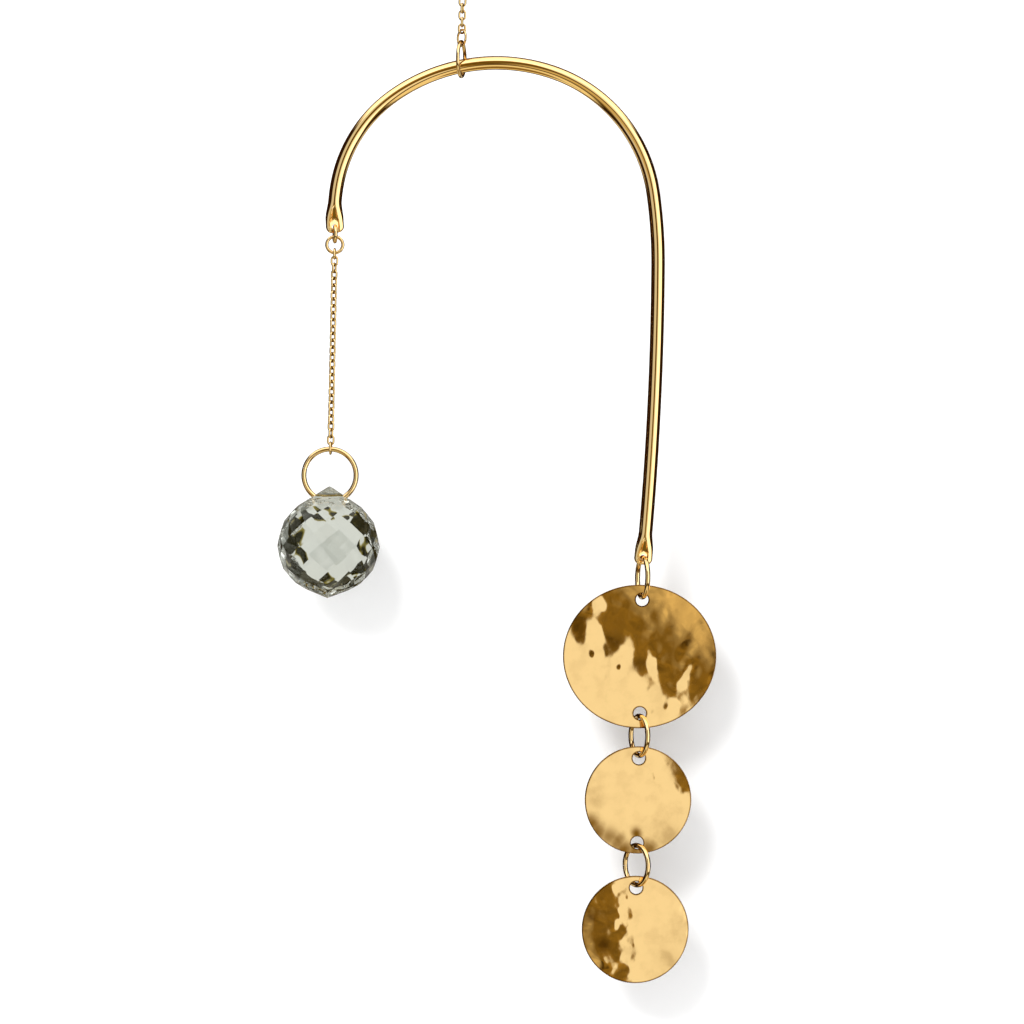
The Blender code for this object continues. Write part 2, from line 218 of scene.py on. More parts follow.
# %% [markdown]
# Glass shows mostly what is behind it. A ball of glass gathers a wide view of that into a small
# picture, upside down, so its surroundings are counted by the angle from one direction behind the
# object: a bright backdrop, a little dimmer in its middle, a round of black flags with a thin yellow
# rim, then grey with a soft light, and a pale floor. The flags give the facets their dark shapes,
# and because they stand a little to one side, the two halves of the ball differ.

# %% Cards behind the glass
# name, degrees away from the middle of the flags, elevations, softness, colour
BACKDROP = (1.0, 1.0, 1.0)
FLAGS_LEFT = 8.0
FLAGS_UP = 2.0
GLASS_CARDS = (
    ("dimmer middle of the backdrop", (-10, 14), ALL_HEIGHTS, 8, (0.80, 0.81, 0.80)),
    ("grey beyond the flags", (58, 400), ALL_HEIGHTS, 4, (0.31, 0.32, 0.31)),
    ("yellow rim of the flags", (31.3, 59), (-35, 200), 1, (0.50, 0.40, 0.08)),
    ("black flags", (31.9, 58), (-34, 200), 2, (0.018, 0.016, 0.004)),
    ("light beside the object", (78, 118), ALL_HEIGHTS, 16, (0.46, 0.46, 0.44)),
)
GLASS_FLOOR = (0.88, 0.88, 0.86)
FLOOR_BELOW = (-50, -42)
STUDIO_BEYOND = (112, 132)
print("cards behind the glass:", len(GLASS_CARDS))

# %% [markdown]
# A world's colour is worked out for one direction at a time. The direction gives the angles, and
# each card is laid on where they lie inside both of its ranges.

# %% Angles and cards
def lay_cards(tree, colour, cards, azimuth, elevation):
    """Each card over the ones before it, by how far a direction lies inside both of its ranges."""
    for _, azimuths, elevations, soft, card_colour in cards:
        cover = calculate(tree, "MULTIPLY", between(tree, azimuth, azimuths, soft),
                          between(tree, elevation, elevations, soft))
        colour = blend_colours(tree, cover, colour, opaque(card_colour))
    return colour


def angle_from(tree, direction, azimuth, elevation):
    """Angle in degrees between a ray and a fixed direction behind the object."""
    middle = tree.nodes.new("ShaderNodeVectorMath")
    middle.operation = "DOT_PRODUCT"
    level = math.cos(math.radians(elevation))
    middle.inputs[1].default_value = (level * math.sin(math.radians(azimuth)),
                                      level * math.cos(math.radians(azimuth)),
                                      math.sin(math.radians(elevation)))
    tree.links.new(direction, middle.inputs[0])
    return calculate(tree, "DEGREES", calculate(tree, "ARCCOSINE", middle.outputs["Value"]))


def direction_angles(tree):
    """Azimuth from the camera towards the right, elevation, and the angle from the flags' middle."""
    direction = tree.nodes.new("ShaderNodeTexCoord").outputs["Generated"]
    parts = tree.nodes.new("ShaderNodeSeparateXYZ")
    tree.links.new(direction, parts.inputs[0])
    x, y, z = parts.outputs
    towards_camera = calculate(tree, "MULTIPLY", y, -1.0)
    azimuth = calculate(tree, "DEGREES", calculate(tree, "ARCTAN2", x, towards_camera))
    elevation = calculate(tree, "DEGREES", calculate(tree, "ARCSINE", z))
    return direction, azimuth, elevation, angle_from(tree, direction, -FLAGS_LEFT, FLAGS_UP)


# %% [markdown]
# The two sets of cards become one world. A Light Path node tells which kind of ray asks: a mirrored
# one gets the cards round the metal, one that comes out of the glass gets the cards behind it, a
# soft one gets an even light, and the camera gets white. A little noise in the middle of the room
# stands for the clutter of a real one, and breaks up the dark fields on the discs.

# %% The world
CLUTTER_SCALE = 9.0
CLUTTER_DETAIL = 3.0
CLUTTER_CLOUDS = (0.32, 0.68)
CLUTTER_STRENGTH = (0.72, 1.4)
CLUTTER_AZIMUTHS = (-9, 6)
CLUTTER_ELEVATIONS = (-27, 31)
CLUTTER_SOFT = 3


def studio_colour(tree, direction, azimuth, elevation):
    """What a mirrored ray sees: the cards, made uneven by clutter in the middle of the room."""
    colour = lay_cards(tree, opaque(OPEN_STUDIO), STUDIO_CARDS, azimuth, elevation)
    clutter = tree.nodes.new("ShaderNodeTexNoise")
    clutter.inputs["Scale"].default_value = CLUTTER_SCALE
    clutter.inputs["Detail"].default_value = CLUTTER_DETAIL
    tree.links.new(direction, clutter.inputs["Vector"])
    strength = ramp(tree, clutter.outputs["Fac"], *CLUTTER_CLOUDS, *CLUTTER_STRENGTH)
    inside_room = calculate(tree, "MULTIPLY", between(tree, azimuth, CLUTTER_AZIMUTHS, CLUTTER_SOFT),
                            between(tree, elevation, CLUTTER_ELEVATIONS, CLUTTER_SOFT))
    strength = calculate(tree, "ADD", 1.0, calculate(tree, "MULTIPLY", inside_room,
                         calculate(tree, "SUBTRACT", strength, 1.0)))
    scaled = tree.nodes.new("ShaderNodeVectorMath")
    scaled.operation = "SCALE"
    tree.links.new(colour, scaled.inputs[0])
    tree.links.new(strength, scaled.inputs["Scale"])
    return scaled.outputs[0]


def glass_view(tree, elevation, behind, studio):
    """What a ray that comes out of the glass sees: backdrop and flags behind, the studio in front."""
    colour = lay_cards(tree, opaque(BACKDROP), GLASS_CARDS, behind, elevation)
    colour = blend_colours(tree, ramp(tree, behind, *STUDIO_BEYOND), colour, studio)
    low = ramp(tree, elevation, *FLOOR_BELOW, 1.0, 0.0)
    return blend_colours(tree, low, colour, opaque(GLASS_FLOOR))


def make_world():
    """White for the camera, studio for mirrors, backdrop for glass, even light for matt things."""
    world = bpy.data.worlds.new("studio")
    world.use_nodes = True
    bpy.context.scene.world = world
    tree = world.node_tree
    rays = tree.nodes.new("ShaderNodeLightPath")
    direction, azimuth, elevation, behind = direction_angles(tree)
    studio = studio_colour(tree, direction, azimuth, elevation)
    through_glass = glass_view(tree, elevation, behind, studio)
    colour = blend_colours(tree, rays.outputs["Is Transmission Ray"], studio, through_glass)
    colour = blend_colours(tree, rays.outputs["Is Diffuse Ray"], colour, opaque((MATT_LIGHT,) * 3))
    colour = blend_colours(tree, rays.outputs["Is Camera Ray"], colour, opaque(BACKGROUND))
    background = tree.nodes["Background"]
    tree.links.new(colour, background.inputs["Color"])
    background.inputs["Strength"].default_value = 1.0
    world.cycles.sampling_method = "NONE"
    return world


print("world:", make_world().name)

# %% [markdown]
# ## Surfaces from arrays
#
# A wire, a ring, a link and the bent tube are all one idea: a flat path with a section carried along
# it. The whole surface is one numpy array of points, rows along the path and columns round the
# section, and the faces are index arithmetic on that array. A helper checks the sign of the volume
# and turns the faces round if the shape came out inside out.

# %% Mesh helpers
SHARP_ANGLE = 50


def grid_faces(rows, columns, closed_rows, closed_columns):
    """Quads between neighbouring points of a grid, joined up where it closes on itself."""
    row = np.arange(rows if closed_rows else rows - 1)
    column = np.arange(columns if closed_columns else columns - 1)
    first, second = np.meshgrid(row, column, indexing="ij")
    below = (first + 1) % rows
    beside = (second + 1) % columns
    corners = (first * columns + second, below * columns + second,
               below * columns + beside, first * columns + beside)
    return np.stack([corner.ravel() for corner in corners], axis=1)


def enclosed_volume(points, quads):
    """Six times the signed volume under a set of quads, by adding up tetrahedra from the origin."""
    a, b, c, d = (points[quads[:, corner]] for corner in range(4))
    return np.einsum("ij,ij->", a, np.cross(b, c)) + np.einsum("ij,ij->", a, np.cross(c, d))


def add_piece(name, points, quads, caps=(), sharp=None):
    """A mesh object from an array of points, quads, and any flat end caps."""
    if enclosed_volume(points, quads) < 0:
        quads = quads[:, ::-1]
        caps = [cap[::-1] for cap in caps]
    mesh = bpy.data.meshes.new(name)
    mesh.from_pydata(points.tolist(), [], quads.tolist() + [list(map(int, cap)) for cap in caps])
    mesh.validate()
    mesh.shade_smooth()
    if sharp is not None:
        mesh.set_sharp_from_angle(angle=math.radians(sharp))
    piece = bpy.data.objects.new(name, mesh)
    bpy.context.scene.collection.objects.link(piece)
    return piece


def turned_about_z(points, degrees):
    """The points turned about the vertical."""
    c, s = math.cos(math.radians(degrees)), math.sin(math.radians(degrees))
    x, y, z = points[..., 0], points[..., 1], points[..., 2]
    return np.stack([c * x - s * y, s * x + c * y, z], axis=-1)


def finish_piece(piece, material, node):
    """Give a piece its finish, let it ride on the body, and hide the frame's node that it stands for.
    """
    piece.data.materials.append(material)
    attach(piece, "root")
    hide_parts(node)
    return piece


# %% [markdown]
# ## Gold
#
# The metal is brass with a thin bright gold plate. All of its colour is in its reflections, so the
# shader is fully metallic. What sets the finishes apart is how fine the polish is: the tube is close
# to a mirror, the hammered sheet a little less even, the wire duller. One noise texture varies the
# roughness, and another gives a bump of a few thousandths of a millimetre.
#
# Some places are painted darker, as painted shade: where chain links cross, along the discs' rims,
# round their holes, and in patches where the discs show dim reflections. That is a value on the
# mesh's points, which the shader reads as an attribute: a thin brown first, a dark one where the
# value nears one.

# %% Gold finishes
GOLD = (0.965, 0.665, 0.279)
CLOUD_SCALE = 220.0
CLOUDS = (0.35, 0.7)
THIN_COVER = (0.0, 0.6)
THICK_COVER = (0.5, 1.0)


def object_noise(tree, scale, detail=3.0):
    """Noise fixed to the piece's own coordinates."""
    place = tree.nodes.new("ShaderNodeTexCoord").outputs["Object"]
    noise = tree.nodes.new("ShaderNodeTexNoise")
    noise.inputs["Scale"].default_value = scale
    noise.inputs["Detail"].default_value = detail
    tree.links.new(place, noise.inputs["Vector"])
    return noise.outputs["Fac"]


def gold_finish(name, colour, polish, grain_scale, grain_depth, painted_shade=None, mottle=0.0):
    """Gold plate whose roughness wanders between two values, with a fine grain as bump.

    A piece can carry a value on its points that paints shade into the gold's colour: a thin brown
    first, and a dark one where the value nears one. The same clouds that dull the polish can mottle it,
    as a tone that varies at random.
    """
    material = bpy.data.materials.new(name)
    material.use_nodes = True
    tree = material.node_tree
    shader = tree.nodes["Principled BSDF"]
    shader.inputs["Base Color"].default_value = opaque(colour)
    shader.inputs["Metallic"].default_value = 1.0
    smooth, dull = polish
    clouds = object_noise(tree, CLOUD_SCALE)
    tree.links.new(ramp(tree, clouds, *CLOUDS, smooth, dull), shader.inputs["Roughness"])
    # Painted shade: the value on the points darkens the base colour, to a thin brown and then a dark
    # one.
    if painted_shade is not None:
        shade_attribute = tree.nodes.new("ShaderNodeAttribute")
        shade_attribute.attribute_name = "painted_shade"
        thin, thick = painted_shade
        cover = calculate(tree, "ADD", shade_attribute.outputs["Fac"], ramp(tree, clouds, *CLOUDS, 0.0, mottle))
        under = blend_colours(tree, ramp(tree, cover, *THIN_COVER), opaque(colour), opaque(thin))
        shaded = blend_colours(tree, ramp(tree, cover, *THICK_COVER), under, opaque(thick))
        tree.links.new(shaded, shader.inputs["Base Color"])
    bump = tree.nodes.new("ShaderNodeBump")
    bump.inputs["Strength"].default_value = 1.0
    bump.inputs["Distance"].default_value = grain_depth
    tree.links.new(object_noise(tree, grain_scale), bump.inputs["Height"])
    tree.links.new(bump.outputs[0], shader.inputs["Normal"])
    return material


def store_painted_shade(piece, values):
    """Store the painted shade, one value for each point of the piece's mesh."""
    layer = piece.data.attributes.new("painted_shade", "FLOAT", "POINT")
    layer.data.foreach_set("value", np.asarray(values, dtype=np.float32).ravel())


ROD_GOLD = gold_finish("rod_gold", GOLD, (0.01, 0.04), 900.0, 0.000003)
RING_GOLD = gold_finish("ring_gold", (0.86, 0.61, 0.28), (0.06, 0.12), 1400.0, 0.000004)
# The chain's brown and dark colours are painted shade where the links cross.
CHAIN_GOLD = gold_finish("chain_gold", (0.93, 0.68, 0.31), (0.08, 0.16), 2200.0, 0.000004,
                         painted_shade=((0.42, 0.25, 0.06), (0.05, 0.028, 0.008)), mottle=0.12)
# The discs' brown and dark colours are painted shade at the rims, round the holes and in patches of dim
# reflection.
HAMMERED_GOLD = gold_finish("hammered_gold", GOLD, (0.02, 0.07), 500.0, 0.000004,
                            painted_shade=((0.21, 0.090, 0.005), (0.10, 0.045, 0.008)), mottle=0.12)
print("gold finishes:", [gold.name for gold in (ROD_GOLD, RING_GOLD, CHAIN_GOLD, HAMMERED_GOLD)])

# %% [markdown]
# ## Rings
#
# Each ring is round wire bent into a circle and closed, with a hairline left where its ends
# meet. The frame gives the middle and the outside diameter. The wire's thickness and the turn about
# the vertical are named here, and the surface is a small circle carried round a large one.

# %% Rings
RING_ROWS = 144
RING_SIDES = 28
JOINT_GAP = 0.04 * MM
# node: wire in mm, degrees turned about the vertical, degrees round the ring where its ends meet
RINGS = {
    "hanging_ring": (1.2, 0.0, 90),
    "connector_ring": (0.7, -60.0, 200),
    "arch_ring": (1.1, 79.0, 170),
    "left_end_ring": (1.2, -83.0, 180),
    "chain_ring": (1.0, 0.0, 20),
    "crystal_ring": (1.5, 0.0, 165),
    "large_disc_ring": (1.5, -76.7, 160),
    "middle_disc_ring": (1.5, -66.5, 200),
    "bottom_disc_ring": (1.5, -56.0, 185),
}


def make_ring(node, wire, turn, joint):
    """Path point = radius * (cos t, 0, sin t), with t running once round from joint to joint."""
    low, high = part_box(node)
    radius = (high.z - low.z - wire) / 2
    opening = JOINT_GAP / radius / 2
    t = math.radians(joint) + np.linspace(opening, 2 * np.pi - opening, RING_ROWS)
    normal = np.stack([np.cos(t), np.zeros_like(t), np.sin(t)], axis=1)
    angle = 2 * np.pi * np.arange(RING_SIDES) / RING_SIDES
    reach = radius + wire / 2 * np.cos(angle)
    points = normal[:, None, :] * reach[None, :, None]
    points[..., 1] = wire / 2 * np.sin(angle)
    points = turned_about_z(points, turn) + np.array((low + high) / 2)
    ends = (np.arange(RING_SIDES), np.arange(RING_SIDES)[::-1] + (RING_ROWS - 1) * RING_SIDES)
    quads = grid_faces(RING_ROWS, RING_SIDES, False, True)
    piece = add_piece(node + "_wire", points.reshape(-1, 3), quads, ends, sharp=SHARP_ANGLE)
    return finish_piece(piece, RING_GOLD, node)


for node, (wire, turn, joint) in RINGS.items():
    make_ring(node, wire * MM, turn, joint)
print("rings:", len(RINGS))

# %% [markdown]
# ## Chains
#
# A cable chain is made of oval links, each a quarter turn on from the one before. One link is a
# wire carried along a closed path of two half circles and two straight sides. The bends, where one
# link lies in the next, are painted dark as painted shade.

# %% One link
CHAIN_WIRE = 0.65 * MM
CROSSING_SHADE_POWER = 4
CROSSING_SHADE_OUTSIDE = 0.7
LINK_ROWS = 40
LINK_SIDES = 12


def link_points(width, inside):
    """One link standing in the XZ plane.

    Path: arc length runs round a stadium whose half circles have the radius (width - wire) / 2.
    On an arc the point is centre + radius * (cos t, sin t), on a side it moves straight down or up.
    The painted shade goes with a power of sin t, so it sits in the two bends where the links cross,
    most on their inside.
    """
    radius = (width - CHAIN_WIRE) / 2
    straight = max(0.0, inside + CHAIN_WIRE - 2 * radius)
    around = 2 * np.pi * radius + 2 * straight
    s = around * np.arange(LINK_ROWS) / LINK_ROWS
    bend = np.pi * radius
    t = np.select([s < bend, s < bend + straight, s < 2 * bend + straight],
                  [s / radius, np.pi, np.pi + (s - bend - straight) / radius], 0.0)
    lift = np.select([s < bend, s < bend + straight, s < 2 * bend + straight],
                     [straight / 2, straight / 2 - (s - bend), -straight / 2],
                     -straight / 2 + (s - 2 * bend - straight))
    normal = np.stack([np.cos(t), np.zeros_like(t), np.sin(t)], axis=1)
    angle = 2 * np.pi * np.arange(LINK_SIDES) / LINK_SIDES
    points = normal[:, None, :] * (radius + CHAIN_WIRE / 2 * np.cos(angle))[None, :, None]
    points[..., 1] = CHAIN_WIRE / 2 * np.sin(angle)
    points[..., 2] += lift[:, None]
    # Painted shade in the bends, where one link lies in the next.
    inside_bend = np.clip(1.0 - CROSSING_SHADE_OUTSIDE * np.cos(angle), 0, 1)
    crossing_shade = np.abs(np.sin(t))[:, None] ** CROSSING_SHADE_POWER * inside_bend[None, :]
    return points.reshape(-1, 3), crossing_shade.ravel()


# %% [markdown]
# A fine chain rarely hangs without a turn. Its end links are opened out for the thicker rings, which
# hold them, and between them the chain is turned about its length, so every link shows its opening.

# %% Chains
LINK_WIDTH = 2.4 * MM
LINK_INSIDE = 1.96 * MM
LINK_BITE = 0.05 * MM
END_LINK_ROOM = 0.25 * MM
PIECE_GAP = 0.3 * MM
CHAIN_TWIST = 40.0
TWIST_LINKS = 4
# node: number of links, turn of the first link, wires that the first and the last link hold
CHAINS = {
    "top_chain": (6, -85.0, 1.2 * MM, 0.7 * MM),
    "crystal_chain": (29, 85.0, 1.0 * MM, 1.5 * MM),
}


def end_link(held):
    """Width and inside length of a link that is opened out for a thicker wire."""
    width = held + 2 * END_LINK_ROOM + 2 * CHAIN_WIRE
    return width, held + PIECE_GAP + CHAIN_WIRE + END_LINK_ROOM


def make_chain(node, count, first_turn, top_wire, bottom_wire):
    """Links one below the other, each a quarter turn on, and turned further between the ends."""
    low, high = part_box(node)
    x, y = middle_of(node)[:2]
    sizes = [end_link(top_wire)] + [(LINK_WIDTH, LINK_INSIDE)] * (count - 2) + [end_link(bottom_wire)]
    inside_top = high.z - CHAIN_WIRE
    points, painted_shade = [], []
    for number, (width, inside) in enumerate(sizes):
        drift = CHAIN_TWIST * min(1.0, number / TWIST_LINKS, (count - 1 - number) / TWIST_LINKS)
        link, crossing_shade = link_points(width, inside)
        turned = turned_about_z(link, first_turn + 90 * number - drift)
        points.append(turned + np.array([x, y, inside_top - inside / 2]))
        painted_shade.append(crossing_shade)
        inside_top -= inside + LINK_BITE
    one = grid_faces(LINK_ROWS, LINK_SIDES, True, True)
    quads = np.concatenate([one + number * LINK_ROWS * LINK_SIDES for number in range(count)])
    piece = add_piece(node + "_links", np.concatenate(points), quads)
    store_painted_shade(piece, np.concatenate(painted_shade))
    print(node, "ends", round((inside_top + LINK_BITE - low.z) / MM, 2), "mm above its box")
    return finish_piece(piece, CHAIN_GOLD, node)


for node, values in CHAINS.items():
    make_chain(node, *values)

# %% [markdown]
# ## The bent tube
#
# The arch is one tube bent through a row of arcs, each tangent to the last. Its heading changes
# evenly with length on every arc, so the path is the running sum of short steps along the heading.
# Where the tube hangs in its ring, the two round wires cross at a slant, and a short sum gives the
# height at which they rest on each other.

# %% Path of the tube
ROD_D = 4.0 * MM
ROD_LEAN = 7.5
ARCH_WIDTH = 95.2 * MM
ARCH_BENDS = ((0.5168, 17.5), (0.4233, 42.1), (0.5420, 55.0), (0.4611, 63.6), (1.4989, 8.5))
RIGHT_LEG = 87.5 * MM
RIGHT_LEG_BOW = 5.1
HANG_AT = 67.4 * MM
PATH_STEP = 0.1 * MM


def rod_path():
    """Points, headings and distances down the tube's middle line, from its left end.

    Heading falls from 90 degrees plus the lean by each arc's angle over that arc's length. A step
    of the path is its length times (cos, sin) of the heading half way along it.
    """
    lengths = [share * ARCH_WIDTH * math.radians(turn) for share, turn in ARCH_BENDS] + [RIGHT_LEG]
    turns = [turn for _, turn in ARCH_BENDS] + [RIGHT_LEG_BOW]
    corners = np.concatenate([[0.0], np.cumsum(lengths)])
    headings = math.radians(90 + ROD_LEAN) - np.radians(np.concatenate([[0.0], np.cumsum(turns)]))
    distance = np.linspace(0.0, corners[-1], int(corners[-1] / PATH_STEP) + 1)
    heading = np.interp(distance, corners, headings)
    half_way = (heading[1:] + heading[:-1]) / 2
    steps = np.diff(distance)[:, None] * np.stack([np.cos(half_way), np.sin(half_way)], axis=1)
    place = np.concatenate([np.zeros((1, 2)), np.cumsum(steps, axis=0)])
    return distance, place, heading


def rod_rest(slope):
    """Height of the tube's middle line where it rests on its ring, from how the two wires cross."""
    wire, turn, _ = RINGS["arch_ring"]
    apart = (wire * MM + ROD_D) / 2 + PIECE_GAP
    across = math.sin(math.radians(abs(turn)))
    climb, run = math.sin(slope), math.cos(slope)
    ring_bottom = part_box("arch_ring")[0].z + wire * MM / 2
    return ring_bottom + apart * math.hypot(climb, across * run) / (across * run)


ROD_DISTANCE, ROD_PLACE, ROD_HEADING = rod_path()
slope_there = np.interp(HANG_AT, ROD_DISTANCE, ROD_HEADING)
hang_place = np.array([np.interp(HANG_AT, ROD_DISTANCE, ROD_PLACE[:, axis]) for axis in (0, 1)])
ROD_PLACE = ROD_PLACE + np.array([0.0, rod_rest(slope_there)]) - hang_place
print("tube length", round(ROD_DISTANCE[-1] / MM, 1), "mm")

# %% [markdown]
# Both ends of the tube were pressed in a die and drilled. The die pushes the middle in and leaves a
# soft lobe on each side, so the section widens into a squarer oval with a dent in its front and its
# back. The dent's floor is flat round the hole, slightly out of square, and then climbs at a steady
# slope to a point in the round tube. All of it is one section whose sizes change along the path.

# %% Pressed ends
PADDLE_WIDTH = 5.3 * MM
PADDLE_THICK = 1.2 * MM
PADDLE_FLAT = 4.0 * MM
PADDLE_RUN = 5.6 * MM
PADDLE_CORNER = 1.8 * MM
LOBE_THICK = 2.1 * MM
LOBE_SQUARE = 2.6
LOBE_FLAT = 1.8 * MM
LOBE_RUN = 5.6 * MM
DENT_SLOPE = 0.34
DENT_CREASE = 0.3 * MM
DENT_HALF_WIDTH = 0.85 * MM
DENT_WALL = 0.4 * MM
DENT_TOP = 9.2 * MM
FLAT_HALF_WIDTH = 1.15 * MM
END_ROUND = 0.8 * MM
END_CAP_SHARE = 0.08
PRESS_TURN = 13.5
FACET_TOP = 3.9 * MM
FACET_ARCH = 0.8 * MM
FACET_EDGE = 0.35 * MM


def ease(value):
    """Zero to one with a soft start and finish."""
    value = np.clip(value, 0.0, 1.0)
    return value * value * (3 - 2 * value)


def pressed_sizes(from_end):
    """Half sizes of a pressed end: width, thickness of lobes and dent floor, (swell), width of dent."""
    swell = 1 - ease((from_end - PADDLE_FLAT) / PADDLE_RUN)
    half_wide = (ROD_D + (PADDLE_WIDTH - ROD_D) * swell) / 2
    inset = np.clip(PADDLE_CORNER - from_end, 0.0, PADDLE_CORNER)
    half_wide = half_wide + np.sqrt(PADDLE_CORNER ** 2 - inset ** 2) - PADDLE_CORNER
    lobe_swell = 1 - ease((from_end - LOBE_FLAT) / LOBE_RUN)
    half_lobe = (ROD_D + (LOBE_THICK - ROD_D) * lobe_swell) / 2
    past_flat = from_end - FACET_TOP
    climb = (past_flat + np.sqrt(past_flat ** 2 + DENT_CREASE ** 2)) / 2 * DENT_SLOPE
    half_floor = np.minimum(PADDLE_THICK / 2 + climb, ROD_D / 2)
    taper = np.clip((DENT_TOP - from_end) / (DENT_TOP - FACET_TOP), 0.0, 1.0)
    in_flat = 1 - ease((from_end - FACET_TOP) / FACET_ARCH + 0.5)
    half_dent = DENT_HALF_WIDTH * taper + (FLAT_HALF_WIDTH - DENT_HALF_WIDTH) * in_flat
    return half_wide, half_lobe, half_floor, swell, half_dent


def pressed_depth(angle, from_end):
    """Front and back of the tube's section, pressed in between two lobes towards its ends.

    The outside is lobe * (1 - |u|^p)^(1/p), where u is the share of the half width and p goes from 2,
    a circle, to a squarer number. The dent takes it down to a floor, over a soft wall on each side.
    The last value says where the flat of the dent is, which the press leaves a little out of square.
    """
    sizes = (size[:, None] for size in pressed_sizes(from_end))
    half_wide, half_lobe, half_floor, swell, half_dent = sizes
    power = 2 + (LOBE_SQUARE - 2) * swell
    share = np.cos(angle)
    across = half_wide * share
    outside = half_lobe * np.clip(1 - np.abs(share) ** power, 0, None) ** (1 / power)
    wall = (np.abs(across) - half_dent) / DENT_WALL
    inside_dent = (1 - ease(wall + 0.5)) * ease(half_dent / DENT_WALL)
    depth = outside + (np.minimum(outside, half_floor) - outside) * inside_dent
    bent_over = np.clip(1 - from_end / END_ROUND, 0.0, 1.0)[:, None]
    depth = depth * (END_CAP_SHARE + (1 - END_CAP_SHARE) * np.sqrt(1 - bent_over ** 2))
    facet_top = FACET_TOP - FACET_ARCH * (across / FLAT_HALF_WIDTH) ** 2
    in_facet = 1 - ease((from_end[:, None] - facet_top) / FACET_EDGE + 0.5)
    return across, np.sign(np.sin(angle)) * depth, in_facet * inside_dent


# %% [markdown]
# The tube's rows lie close together in the pressed ends and further apart between them, where only
# the path bends.

# %% Tube
FRONT_COLUMNS = 64
FINE_STEP = 0.12 * MM
WIDE_STEP = 0.9 * MM
FINE_PAST_PADDLE = 1.0 * MM
LEFT_HOLE_D = 1.6 * MM
RIGHT_HOLE_D = 2.0 * MM
END_STRIP = 1.0 * MM


def make_rod(node):
    """The tube's surface: the pressed section carried along the path, with closed ends."""
    total = ROD_DISTANCE[-1]
    pressed = PADDLE_FLAT + PADDLE_RUN + FINE_PAST_PADDLE
    near = np.linspace(0.0, pressed, int(pressed / FINE_STEP))
    middle = np.linspace(pressed, total - pressed, int((total - 2 * pressed) / WIDE_STEP))
    stations = np.concatenate([near, middle[1:-1], total - near[::-1]])
    heading = np.interp(stations, ROD_DISTANCE, ROD_HEADING)
    centre = np.stack([np.interp(stations, ROD_DISTANCE, place) for place in ROD_PLACE.T], axis=1)
    angle = np.pi * (np.arange(2 * FRONT_COLUMNS) + 0.5)[None, :] / FRONT_COLUMNS
    aside, depth, facet = pressed_depth(angle, np.minimum(stations, total - stations))
    across = -aside * np.sin(heading)[:, None]
    depth = depth + across * math.tan(math.radians(PRESS_TURN)) * facet
    points = np.stack([centre[:, :1] + across, depth,
                       centre[:, 1:] + aside * np.cos(heading)[:, None]], axis=-1)
    rows, columns = depth.shape
    ends = (np.arange(columns), np.arange(columns)[::-1] + (rows - 1) * columns)
    quads = grid_faces(rows, columns, False, True)
    piece = add_piece(node + "_tube", points.reshape(-1, 3), quads, ends, sharp=SHARP_ANGLE)
    for at, way, hole_d in ((0, 1, LEFT_HOLE_D), (-1, -1, RIGHT_HOLE_D)):
        along = way * np.array([math.cos(ROD_HEADING[at]), math.sin(ROD_HEADING[at])])
        x, z = ROD_PLACE[at] + along * (END_STRIP + hole_d / 2)
        drill(piece, (x, 0, z), hole_d)
    print(node, "rows", rows, "columns", columns)
    return finish_piece(piece, ROD_GOLD, node)


# %% [markdown]
# ## Drilled holes
#
# A drilled hole is easiest as a Boolean with a fine cylinder. It is applied at once, so nothing but
# the finished mesh is left, and the wall of the hole stays smooth.

# %% Drilling
HOLE_SIDES = 64
DRILL_LENGTH = 20 * MM


def drill(piece, centre, diameter):
    """Cut a round hole from front to back and apply the cut."""
    bpy.ops.mesh.primitive_cylinder_add(vertices=HOLE_SIDES, radius=diameter / 2, depth=DRILL_LENGTH,
                                        location=centre, rotation=(math.pi / 2, 0, 0))
    cutter = bpy.context.object
    cutter.data.shade_smooth()
    boolean = piece.modifiers.new("hole", "BOOLEAN")
    boolean.object = cutter
    boolean.solver = "EXACT"
    bpy.context.view_layer.update()
    cut_piece = piece.evaluated_get(bpy.context.evaluated_depsgraph_get())
    old = piece.data
    piece.data = bpy.data.meshes.new_from_object(cut_piece)
    piece.modifiers.clear()
    piece.data.shade_smooth()
    piece.data.set_sharp_from_angle(angle=math.radians(SHARP_ANGLE))
    bpy.data.meshes.remove(old)
    bpy.data.objects.remove(cutter, do_unlink=True)


make_rod("arch_rod")

# %% [markdown]
# ## Hammered discs
#
# The discs are cut from sheet and planished with a round-faced hammer. Each blow leaves a shallow
# bowl a few millimetres wide and a few hundredths deep, and many blows pull the whole sheet into a
# gentle, uneven dome. In a mirror finish the slopes matter more than the depths: a slope of one
# degree moves the reflection by two. So the relief is a height over the disc: a bend of the whole
# sheet, a roll-off at the rim, some broad crests and hollows where the metal was worked most, and
# two fields of small overlapping blows. The edge between bright and dark runs where the slope turns
# the reflection from the open studio to the room, and a crest or hollow there pushes it to and fro.

# %% Relief of a disc
RIM_DROP = 1.0 * MM
RIM_DROP_STARTS = 0.86
BLOWS_PAST_RIM = 3 * MM
ROW_PITCH = 0.87
BLOW_JITTER = 0.28
BLOW_SIZES = (0.75, 1.3)
BLOW_DEPTHS = (0.3, 1.5)
BLOW_STRETCH = (0.8, 1.25)
SMALL_BLOWS_SEED = 50
DEGREE = math.pi / 180


